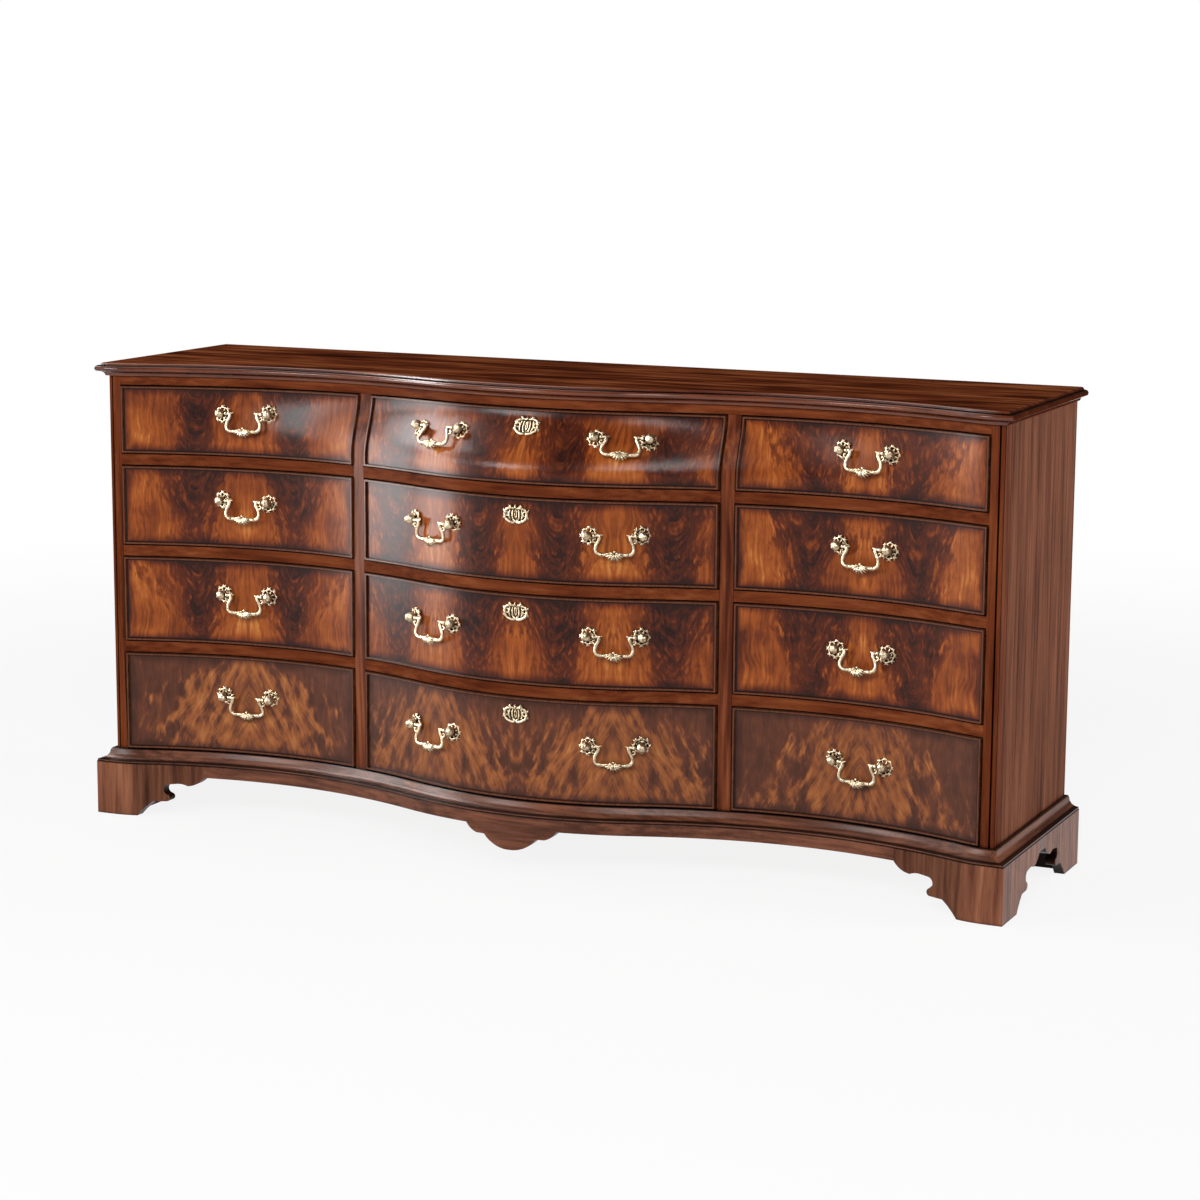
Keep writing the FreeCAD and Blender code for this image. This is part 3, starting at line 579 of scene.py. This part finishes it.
lining = planedPoplar("barePoplar_drawers", poplarBoards["bare"])
finish("dust_boards", lining)
finish("back_panel", planedPoplar("stainedPoplar_back", poplarBoards["stained"]))
for row, column in drawers:
    finish(f"drawer_front_{row}_{column}", crotchMahogany(row, column))
    finish(f"drawer_box_{row}_{column}", lining)
    finish(f"pull_fittings_{row}_{column}", brass)
for node in nodes:
    if node.startswith("bail_"):
        finish(node, brass)
for node in easedEdges["case"]:
    easeEdges(node, easedEdges["caseEdge"])
for row, column in drawers:
    easeEdges(f"drawer_front_{row}_{column}", easedEdges["frontEdge"])
print("finishes set")


# a smooth curve through the controls, for cast bars
def smoothPath(controls, steps, closed):
    points = [Vector(control) for control in controls]
    if closed:
        spread = points[-1:] + points + points[:2]
    else:
        spread = [points[0] * 2 - points[1]] + points + [points[-1] * 2 - points[-2]]
    path = []
    for before, first, second, after in zip(spread, spread[1:], spread[2:], spread[3:]):
        for step in range(steps):
            t = step / steps
            bend = before * 2 - first * 5 + second * 4 - after
            twist = (first - second) * 3 + after - before
            path.append(first + (second - before + (bend + twist * t) * t) * (t / 2))
    return path if closed else path + points[-1:]


# joins two rings of points, each with as many sides
def skin(cast, here, there, sides):
    for side in range(sides):
        after = (side + 1) % sides
        cast["faces"].append((here + side, here + after, there + after, there + side))


# a round bar along smooth controls of three places and a radius; place puts a point in the frame
def sweep(cast, controls, place, steps=4, sides=9, closed=False, endRound=0.7):
    path = smoothPath(controls, steps, closed)
    spots = [place(point) for point in path]
    count = len(spots)
    base = len(cast["points"])
    normal = None
    for i, spot in enumerate(spots):
        ahead = spots[(i + 1) % count] if closed else spots[min(i + 1, count - 1)]
        behind = spots[i - 1] if closed else spots[max(i - 1, 0)]
        tangent = (ahead - behind).normalized()
        normal = normal or tangent.orthogonal()
        normal = (normal - tangent * normal.dot(tangent)).normalized()
        aside = tangent.cross(normal)
        for side in range(sides):
            angle = 2 * math.pi * side / sides
            outward = normal * math.cos(angle) + aside * math.sin(angle)
            cast["points"].append(spot + outward * path[i][3] * mm)
    for i in range(count if closed else count - 1):
        skin(cast, base + i * sides, base + (i + 1) % count * sides, sides)
    if closed:
        return
    for end, beside, ring in ((0, 1, base), (-1, -2, base + (count - 1) * sides)):
        away = (spots[end] - spots[beside]).normalized()
        cast["points"].append(spots[end] + away * path[end][3] * mm * endRound)
        apex = len(cast["points"]) - 1
        for side in range(sides):
            pair = (ring + side, ring + (side + 1) % sides)
            cast["faces"].append((*(pair if end else reversed(pair)), apex))


# puts millimetres along three axes in the frame
def axesPlace(origin, first, second, third):
    return lambda point: origin + (first * point[0] + second * point[1] + third * point[2]) * mm


def castObject(name, cast, body, *replaced):
    mesh = bpy.data.meshes.new(name)
    mesh.from_pydata(cast["points"], [], cast["faces"])
    mesh.shade_smooth()
    mesh.materials.append(brass)
    piece = bpy.data.objects.new(name, mesh)
    bpy.context.scene.collection.objects.link(piece)
    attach(piece, body)
    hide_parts(*replaced)


# cast pulls, made of swept bars, leaves and turned balls; the last number of a row is a radius, and
# the arm, tip, curl and spray are drawn on one half, as places across and down from the pivot
pullCasting = {
    "ball": 8.5,
    "ballSlack": 1.01,
    "postReach": 90.0,
    "boss": 9.4,
    "bossSides": 24,
    "bossRings": 16,
    "eye": 1.9,
    "eyeDepth": 5.7,
    "chasedLeaves": 5,
    "chasedDepth": 0.09,
    "ring": (13.9, 1.7),
    "ringLift": 0.4,
    "scallops": 8,
    "scallop": 0.7,
    "scallopPoints": 6,
    "leaf": ((13.4, 0, 2.0), (16.2, 4, 1.7), (19.0, 11, 0.6)),
    "leafLift": 0.6,
    "tie": (3.0, 2.4, 1.3),
    "backing": ((0.45, 13.0), (0.9, 13.0)),
    "stem": ((0.5, 3.5), (9.0, 3.5)),
    "frontDepth": 60.0,
    "nutGap": 0.4,
    "nut": (4.0, 5.5),
    "boltTail": 6.5,
    "bolt": (0.5, 2.5),
    "pin": ((4.8, 1.6), (-2.0, 1.6)),
    "neck": ((-1.4, 3.4), (-4.0, 4.2), (-7.0, 3.0)),
    "arm": ((31.5, -0.6, 3.3), (28.6, 1.8, 3.7), (29.4, 7.0, 3.7), (32.6, 13.0, 3.4), (35.2, 19.5, 3.2),
            (35.6, 26.0, 3.3), (33.0, 31.6, 3.6), (26.5, 34.4, 3.7), (16.0, 34.6, 3.6), (8.0, 34.8, 4.4),
            (0.0, 35.2, 4.8)),
    "tip": ((31.0, 0.4, 3.2), (26.6, -0.8, 2.4), (22.2, -2.4, 0.6)),
    "tipLift": 0.4,
    "curl": ((30.0, 9.0, 2.2), (33.4, 12.6, 2.0), (38.6, 12.0, 1.9), (40.4, 8.0, 1.7), (37.4, 5.6, 1.5),
             (35.6, 8.2, 1.2)),
    "curlLift": 0.2,
    "collar": ((23.7, 34.5, 3.4), (25.0, 34.5, 5.0), (26.3, 34.5, 3.4)),
    "spray": ((0.0, 47.0, 3.2), (6.6, 45.8, 3.0), (12.6, 42.4, 2.8), (17.0, 38.4, 2.6), (18.0, 33.0, 2.4),
              (9.0, 30.2, 2.2)),
    "sprayBase": 33.0,
    "sprayRoot": (0.15, 2.0, 0.9),  # share across, lift, share of the radius
    "spraySwell": (0.6, 0.55, 4.0),  # share across, share down, lift
    "sprayTip": (1.6, 0.7),  # lift, radius
    "bud": ((0.0, 31.0, 1.0, 3.0), (0.0, 28.2, 1.4, 3.0), (0.0, 26.0, 1.0, 0.9)),
}


# a turned ball of places along the first axis and radii, with leaves chased on its outer side
def turnBall(cast, profile, place):
    look = pullCasting
    sides = look["bossSides"]
    base = len(cast["points"])
    for along, radius in profile:
        for side in range(sides):
            angle = 2 * math.pi * side / sides
            spot = Vector((along, radius * math.cos(angle), radius * math.sin(angle)))
            depth = max(spot.z, 0) / (spot.length or 1) * look["chasedDepth"]
            spot *= 1 + depth * math.cos(look["chasedLeaves"] * math.atan2(spot.y, spot.x))
            cast["points"].append(place(spot))
    for ring in range(len(profile) - 1):
        skin(cast, base + ring * sides, base + (ring + 1) * sides, sides)


# a pull's frame from the bail's joint and the balls of the plain fittings
def pullFrame(joint, drawer):
    look = pullCasting
    middle = Vector(joint["pos_m"])
    across = -Vector(joint["axis"]).normalized()
    reach = look["ball"] * mm
    spans = [[], []]
    for vertex in nodes["pull_fittings_" + drawer].data.vertices:
        offset = vertex.co - middle
        along = offset.dot(across)
        fromAxis = (offset - across * along).length
        if abs(along) < look["postReach"] * mm and fromAxis < reach * look["ballSlack"]:
            spans[along > 0].append(abs(along))
    front = nodes["drawer_front_" + drawer]
    posts = []
    for side, span in zip((-1, 1), spans):
        ball = middle + across * side * (max(span) - reach)
        foot = front.closest_point_on_mesh(ball)[1]
        posts.append({"side": side, "ball": ball, "foot": foot, "normal": (ball - foot).normalized()})
    outward = posts[0]["normal"] + posts[1]["normal"]
    outward = (outward - across * outward.dot(across)).normalized()
    half = (posts[1]["ball"] - posts[0]["ball"]).length / 2 * perMetre
    down = across.cross(outward)
    return {"middle": middle, "across": across, "outward": outward, "down": down, "posts": posts, "half": half}


def castPost(cast, post, pull, drawer):
    look = pullCasting
    inward = pull["across"] * -post["side"]
    normal = post["normal"]
    level = (inward - normal * inward.dot(normal)).normalized()
    plate = axesPlace(post["foot"], level, normal.cross(level), normal)
    radius, thick = look["ring"]
    lobes = look["scallops"]
    steps = look["scallopPoints"] * lobes
    ring = []
    for k in range(steps):
        bearing = 2 * math.pi * k / steps
        reach = radius + look["scallop"] * math.cos(lobes * bearing)
        ring.append((reach * math.cos(bearing), reach * math.sin(bearing), thick + look["ringLift"], thick))
    sweep(cast, ring, plate, 1, 9, closed=True)
    start, height, tieSize = look["tie"]
    for turn in range(lobes):
        # a leaf bent each way from every scallop, and a tie between scallops
        for bend in (-1, 1):
            leaf = []
            for distance, angle, size in look["leaf"]:
                bearing = math.radians(turn * 360 / lobes + bend * angle)
                x, y = distance * math.cos(bearing), distance * math.sin(bearing)
                leaf.append((x, y, size + look["leafLift"], size))
            sweep(cast, leaf, plate, 3, 8)
        bearing = math.radians((turn + 0.5) * 360 / lobes)
        tie = [(d * math.cos(bearing), d * math.sin(bearing), height, tieSize) for d in (start, radius)]
        sweep(cast, tie, plate, 2, 6)
    sweep(cast, [(0, 0, *end) for end in look["backing"]], plate, 1, 32, endRound=0.0)
    sweep(cast, [(0, 0, *end) for end in look["stem"]], plate, 1, 16)
    # the bolt goes through the front to its nut on the inner face
    behind = post["foot"] - normal * look["frontDepth"] * mm
    inner = nodes["drawer_front_" + drawer].ray_cast(behind, normal)[1]
    depth = -(post["foot"] - inner).length * perMetre - look["nutGap"]
    boltStart, boltSize = look["bolt"]
    bolt = [(0, 0, depth - look["boltTail"], boltSize), (0, 0, boltStart, boltSize)]
    sweep(cast, bolt, plate, 1, 12, endRound=0.2)
    nutHeight, nutSize = look["nut"]
    nut = [(0, 0, depth - nutHeight, nutSize), (0, 0, depth, nutSize)]
    sweep(cast, nut, plate, 1, 6, endRound=0.0)
    # the ball, with the eye for the bail's pin
    size, rings = look["boss"], look["bossRings"]
    start = math.asin(look["eye"] / size)
    bends = [start + (math.pi - start) * k / rings for k in range(rings + 1)]
    floor = size - look["eyeDepth"]
    profile = [(floor, 0.0), (floor, look["eye"])]
    profile += [(size * math.cos(angle), size * math.sin(angle)) for angle in bends]
    turnBall(cast, profile, axesPlace(post["ball"], inward, normal.cross(inward), normal))


def castBail(cast, pull):
    look = pullCasting
    face = pull["half"] - look["boss"]
    rootAside, rootLift, rootSize = look["sprayRoot"]
    swellAside, swellDown, swellLift = look["spraySwell"]
    sprayBase = look["sprayBase"]
    for side in (-1, 1):
        place = axesPlace(pull["middle"], pull["across"] * side, pull["down"], pull["outward"])
        pin = [(face + u, 0, 0, size) for u, size in look["pin"]]
        sweep(cast, pin, place, 1, 10, endRound=0.2)
        neck = [(face + u, 0, 0, size) for u, size in look["neck"]]
        arm = neck + [(u, v, 0.0, size) for u, v, size in look["arm"]]
        sweep(cast, arm, place, 4, 10)
        sweep(cast, [(u, v, look["tipLift"], size) for u, v, size in look["tip"]], place, 4, 8)
        sweep(cast, [(u, v, look["curlLift"], size) for u, v, size in look["curl"]], place, 4, 8)
        sweep(cast, [(u, v, 0, size) for u, v, size in look["collar"]], place, 2, 12)
        for u, v, size in look["spray"]:
            root = (u * rootAside, sprayBase, rootLift, size * rootSize)
            swell = (u * swellAside, sprayBase + (v - sprayBase) * swellDown, swellLift, size)
            sweep(cast, [root, swell, (u, v, *look["sprayTip"])], place, 4, 8)
    sweep(cast, look["bud"], place, 3, 10)


# cast plates on the centre drawers: places across and up from the keyhole on one half, and a radius
escutcheonCasting = {
    "fall": 34.0,
    "openingGap": 2.5,
    "keyholeClear": 8.0,
    "lift": 0.3,  # of the whole casting off the front
    "lifts": {"rim": 0.0, "foot": 0.1, "leaves": 0.2, "bars": 0.1, "side": 0.1, "keyhole": 0.2},
    "rim": ((23.2, 0.0, 2.6), (19.6, 8.2, 2.6), (8.6, 11.2, 2.4), (0.0, 10.2, 2.3)),
    "foot": ((23.2, 0.0, 2.6), (20.2, -9.2, 2.7), (10.5, -14.8, 2.9), (2.8, -15.4, 2.5), (2.6, -11.6, 1.8),
             (6.2, -11.2, 1.4)),
    "leaves": (
        ((0.0, 9.6, 3.0), (0.0, 13.6, 3.0), (0.0, 17.6, 1.2)),
        ((8.0, 10.6, 2.8), (11.4, 14.4, 2.9), (9.2, 17.2, 1.2)),
        ((21.0, 5.0, 2.4), (24.8, 6.0, 2.0), (26.2, 9.2, 0.8)),
        ((22.2, -4.5, 2.4), (25.2, -6.8, 1.9), (24.4, -10.2, 0.8)),
    ),
    "bars": ((5.6, 9.0, -10.4, 1.4), (11.6, 8.6, -11.5, 2.4)),  # across, top, bottom, bow
    "barSizes": (1.6, 1.8, 1.5),
    "side": (18.0, 0.4, 4.2, 1.7),  # centre, size of the loop, radius
    "sideSquash": 0.8,
    "loopPoints": 8,
    "keyhole": (1.9, 7.4, 1.3),  # half width, half height, radius of the rim
    "backing": (20.0, 11.0),  # half width, half height
    "backingFall": 1.5,
    "backingLift": 0.4,
    "backingPoints": 32,
    "lock": (35.0, 45.0, 14.0),  # half width, height, depth
    "lockFall": 14.0,
    "lockGap": 0.3,
    "clearOfFront": 1000.0,
}


def castEscutcheon(cast, row):
    look = escutcheonCasting
    lifts = look["lifts"]
    front = nodes[f"drawer_front_{row}_centre"]
    low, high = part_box(f"drawer_front_{row}_centre")
    opening = high.z * perMetre + look["openingGap"]
    middle = opening - look["fall"]
    clear = look["clearOfFront"] * mm

    def place(point):
        x, z = point[0] * mm, (middle + point[1]) * mm
        # measured clear of the keyhole in the front
        beside = math.copysign(max(abs(x), look["keyholeClear"] * mm), x)
        _, spot, normal, _ = front.ray_cast((beside, low.y - clear, z), (0, 1, 0))
        return Vector((x, spot.y, spot.z)) + normal * (point[2] + look["lift"]) * mm

    def level(controls, side, lift):
        return [(x * side, z, size + lift, size) for x, z, size in controls]

    bends = [2 * math.pi * k / look["loopPoints"] for k in range(look["loopPoints"])]
    for side in (-1, 1):
        sweep(cast, level(look["rim"], side, lifts["rim"]), place, 4, 8)
        sweep(cast, level(look["foot"], side, lifts["foot"]), place, 4, 8)
        for leaf in look["leaves"]:
            sweep(cast, level(leaf, side, lifts["leaves"]), place, 4, 8)
        for x, top, bottom, bow in look["bars"]:
            spots = ((x, top), (x + bow, (top + bottom) / 2), (x, bottom))
            bar = [(*spot, size) for spot, size in zip(spots, look["barSizes"])]
            sweep(cast, level(bar, side, lifts["bars"]), place, 5, 8)
        x, z, radius, size = look["side"]
        wide = radius * look["sideSquash"]
        loop = [(x + wide * math.cos(a), z + radius * math.sin(a), size) for a in bends]
        sweep(cast, level(loop, side, lifts["side"]), place, 3, 8, closed=True)
    wide, tall, size = look["keyhole"]
    hole = [(wide * math.cos(a), tall * math.sin(a), size) for a in bends]
    sweep(cast, level(hole, 1, lifts["keyhole"]), place, 3, 8, closed=True)
    # a thin plate under the bars, open at the keyhole
    plateWide, plateTall = look["backing"]
    lift, count = look["backingLift"], look["backingPoints"]
    base = len(cast["points"])
    for k in range(count):
        x, z = math.cos(2 * math.pi * k / count), math.sin(2 * math.pi * k / count)
        cast["points"].append(place((plateWide * x, plateTall * z - look["backingFall"], lift)))
        cast["points"].append(place((wide * x, tall * z, lift)))
    for k in range(0, 2 * count, 2):
        after = (k + 2) % (2 * count)
        cast["faces"].append((base + k, base + after, base + after + 1, base + k + 1))
    # the lock's case on the inner face
    wide, tall, depth = look["lock"]
    top = opening - look["lockFall"]
    corners = []
    for z in (top - tall, top):
        for x in (-wide, wide):
            inner = front.ray_cast((x * mm, high.y + clear, z * mm), (0, -1, 0))[1]
            for behind in (look["lockGap"], look["lockGap"] + depth):
                corners.append(inner + Vector((0, behind, 0)) * mm)
    base = len(cast["points"])
    cast["points"] += corners
    for quad in ((0, 2, 3, 1), (4, 5, 7, 6), (0, 1, 5, 4), (2, 6, 7, 3), (0, 4, 6, 2), (1, 3, 7, 5)):
        cast["faces"].append(tuple(base + corner for corner in quad))


swings = {joint["child"]: joint for joint in frame["joints"] if joint["name"].endswith("_swing")}
for row, column in drawers:
    drawer = f"{row}_{column}"
    fittings = {"points": [], "faces": []}
    for bail in [name for name in swings if name.startswith("bail_" + drawer)]:
        pull = pullFrame(swings[bail], drawer)
        for post in pull["posts"]:
            castPost(fittings, post, pull, drawer)
        casting = {"points": [], "faces": []}
        castBail(casting, pull)
        castObject("swanNeck_" + bail.removeprefix("bail_"), casting, bail, bail)
    if column == "centre":
        castEscutcheon(fittings, row)
    castObject("pullPlates_" + drawer, fittings, "drawer_" + drawer, "pull_fittings_" + drawer)
print("brass cast")


# camera at the photograph's place: distances in metres, angles in degrees
cameraSet = {
    "place": (2.45104, -5.18516, 1.49031),
    "azimuth": 24.71,
    "elevation": 10.01,
    "roll": 0.33,
    "lens": 90.07,
    "sensor": 36,
    "farthest": 500,
}


def setCamera():
    look = cameraSet
    azimuth, elevation, roll = [math.radians(look[k]) for k in ("azimuth", "elevation", "roll")]
    forward = Vector((-math.sin(azimuth), math.cos(azimuth), 0)) * math.cos(elevation)
    forward.z = -math.sin(elevation)
    right = Vector((math.cos(azimuth), math.sin(azimuth), 0))
    up = right.cross(forward)
    rolledRight = right * math.cos(roll) + up * math.sin(roll)
    rolledUp = up * math.cos(roll) - right * math.sin(roll)
    data = bpy.data.cameras.new("camera")
    data.lens = look["lens"]
    data.sensor_width = look["sensor"]
    data.clip_end = look["farthest"]
    camera = bpy.data.objects.new("camera", data)
    turn = Matrix((rolledRight, rolledUp, -forward)).transposed().to_4x4()
    camera.matrix_world = Matrix.Translation(look["place"]) @ turn
    bpy.context.scene.collection.objects.link(camera)
    bpy.context.scene.camera = camera


# studio, in metres and watts: soft boxes, cards that are only seen in the polish, a pale floor to the
# horizon, and a backdrop that is white low down and dim above
studio = {
    "aim": (0, 0, 0.45),
    "boxes": {
        "leftBox": ((-2.6, -4.2, 2.4), 1.4, 1.2, 110.0),
        "frontBox": ((1.7, -4.6, 3.2), 2.6, 1.4, 155.0),
        "rightBox": ((4.4, 1.2, 1.4), 2.2, 1.8, 92.0),
        "topBox": ((-1.8, 0.0, 4.2), 2.6, 2.2, 50.0),
    },
    "cards": {
        "leftCard": ((-2.67, -1.48, 0.95), 0.9, 1.8, 95.0),
        "highCard": ((-2.9, -0.7, 2.5), 1.5, 1.2, 130.0),
    },
    "floorHalf": 150.0,
    "floorColour": "e9e9e9",
    "floorShine": {"Roughness": 0.9, "Specular IOR Level": 0.0},
    "floorWhite": (1.4, 4.5, 0.87, 1.0),
    "backdrop": (0.026, 0.075, 1.0, 0.035),
}


def setLights():
    look = studio
    for name, (place, width, height, power) in {**look["boxes"], **look["cards"]}.items():
        data = bpy.data.lights.new(name, "AREA")
        data.shape = "RECTANGLE"
        data.size = width
        data.size_y = height
        data.energy = power
        box = bpy.data.objects.new(name, data)
        box.location = place
        aim = Vector(look["aim"]) - box.location
        box.rotation_mode = "QUATERNION"
        box.rotation_quaternion = aim.to_track_quat("-Z", "Y")
        box.visible_camera = False
        box.visible_diffuse = name in look["boxes"]
        bpy.context.scene.collection.objects.link(box)


def setFloor():
    look = studio
    reach = look["floorHalf"]
    corners = [(x * reach, y * reach, 0) for x, y in ((-1, -1), (1, -1), (1, 1), (-1, 1))]
    mesh = bpy.data.meshes.new("floor")
    mesh.from_pydata(corners, [], [(0, 1, 2, 3)])
    floor = bpy.data.objects.new("floor", mesh)
    bpy.context.scene.collection.objects.link(floor)
    # pale painted floor: matt, so only the soft shadow shows; far off it is plain white
    material, tree, shader = startMaterial("paintedFloor", look["floorShine"])
    shader.inputs["Base Color"].default_value = linear(look["floorColour"])
    place = addNode(tree, "TexCoord", {}, (), "Object")
    distance = addNode(tree, "VectorMath", {"operation": "LENGTH"}, (place,), "Value")
    white = addNode(tree, "MapRange", smooth, (distance, *look["floorWhite"]))
    path = addNode(tree, "LightPath", {}, ()).node.outputs
    seen = addNode(tree, "Math", larger, (path["Is Camera Ray"], path["Is Glossy Ray"]))
    seen = addNode(tree, "Math", larger, (seen, path["Is Transmission Ray"]))
    share = addNode(tree, "Math", multiply, (white, seen))
    glow = addNode(tree, "Emission", {}, {"Color": linear("ffffff"), "Strength": 1.0})
    mixed = addNode(tree, "MixShader", {}, (share, shader.outputs[0], glow))
    tree.links.new(mixed, tree.nodes["Material Output"].inputs["Surface"])
    mesh.materials.append(material)


def setBackdrop():
    world = bpy.data.worlds.new("studio")
    bpy.context.scene.world = world
    world.use_nodes = True
    tree = world.node_tree
    direction = addNode(tree, "TexCoord", {}, (), "Generated")
    height = addNode(tree, "SeparateXYZ", {}, (direction,), 2)
    level = addNode(tree, "MapRange", smooth, (height, *studio["backdrop"]))
    tree.links.new(level, tree.nodes["Background"].inputs["Strength"])
    tree.nodes["Background"].inputs["Color"].default_value = linear("ffffff")


setCamera()
setLights()
setFloor()
setBackdrop()
bpy.context.scene.view_settings.view_transform = "Standard"
print("camera and studio set")
